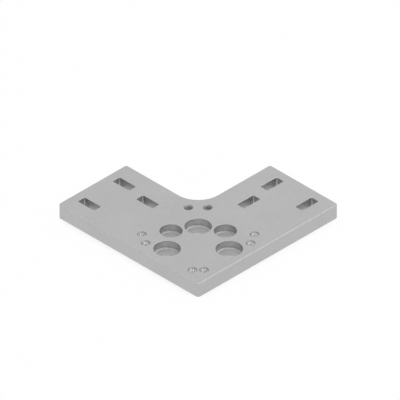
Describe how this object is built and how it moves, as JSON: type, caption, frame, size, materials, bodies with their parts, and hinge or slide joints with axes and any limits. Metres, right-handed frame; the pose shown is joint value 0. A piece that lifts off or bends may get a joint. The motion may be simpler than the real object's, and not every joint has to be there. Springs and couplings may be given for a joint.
{
  "type": "extrusion joining plate",
  "caption": "Flat L-shaped machined plate with slots, stepped seats and tapped castor holes, for joining aluminium profile rails at a frame's corner.",
  "frame": {"origin": "middle of the plate's square envelope, on its flat underside", "axes": "+Z out of the face that the seats are sunk into, +X and +Y along the two legs away from the outer corner"},
  "size_m": [0.18, 0.18, 0.015],
  "materials": {
    "plate": "satin"
  },
  "bodies": {
    "root": {"joining_plate": "plate"}
  },
  "joints": []
}
